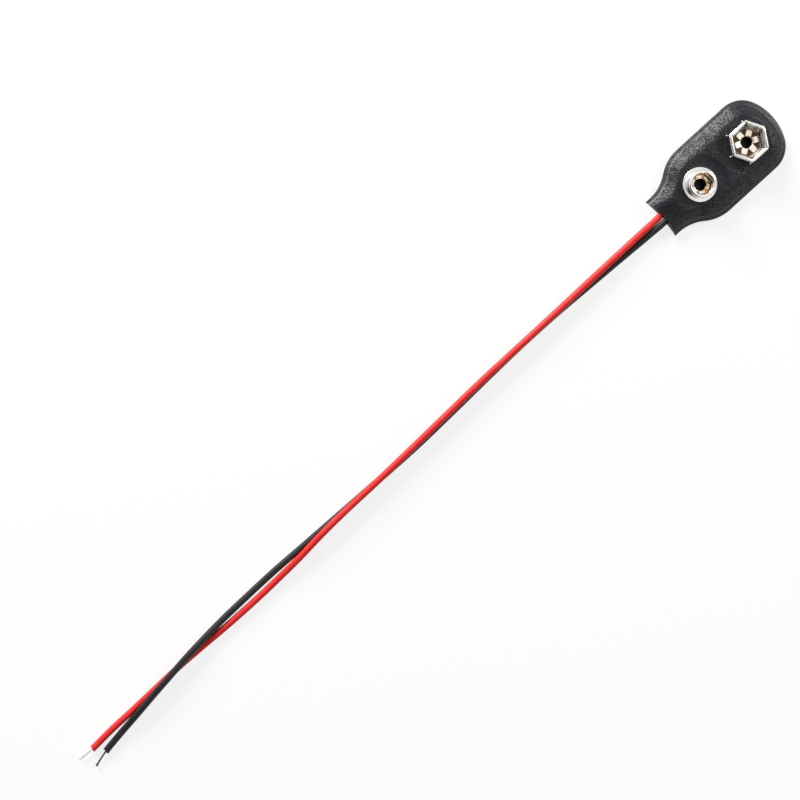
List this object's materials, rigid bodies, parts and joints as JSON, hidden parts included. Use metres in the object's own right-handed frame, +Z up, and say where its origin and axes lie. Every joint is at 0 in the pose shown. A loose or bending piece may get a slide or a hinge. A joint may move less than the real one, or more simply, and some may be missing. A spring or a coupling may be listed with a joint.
{
  "type": "9 v battery snap",
  "caption": "Soft snap connector for a 9 V block battery: black vinyl pouch with a plain stud and a hexagonal spring socket riveted to its face, and bare-ended red and black leads.",
  "frame": {"origin": "middle of the pouch's outline, on the surface that its back lies on", "axes": "+X along the pouch towards its round nose, away from the leads; +Z up, the way the terminals face"},
  "size_m": [0.1946, 0.0164, 0.0061],
  "materials": {
    "vinyl": "leather-grained soft vinyl",
    "fibre": "pressed fibre board",
    "nickel": "bright nickel plate",
    "brass": "plain pressed brass",
    "tin": "tinned",
    "red_pvc": "satin",
    "black_pvc": "satin"
  },
  "bodies": {
    "root": {"back_sheet": "vinyl", "face_sheet": "vinyl", "stiffener_board": "fibre", "stud_terminal": "nickel", "socket_terminal": "nickel", "stud_eyelet": "brass", "socket_eyelet": "brass", "stud_solder": "tin", "socket_solder": "tin", "red_strands": "tin", "red_insulation": "red_pvc", "black_strands": "tin", "black_insulation": "black_pvc"}
  },
  "joints": []
}
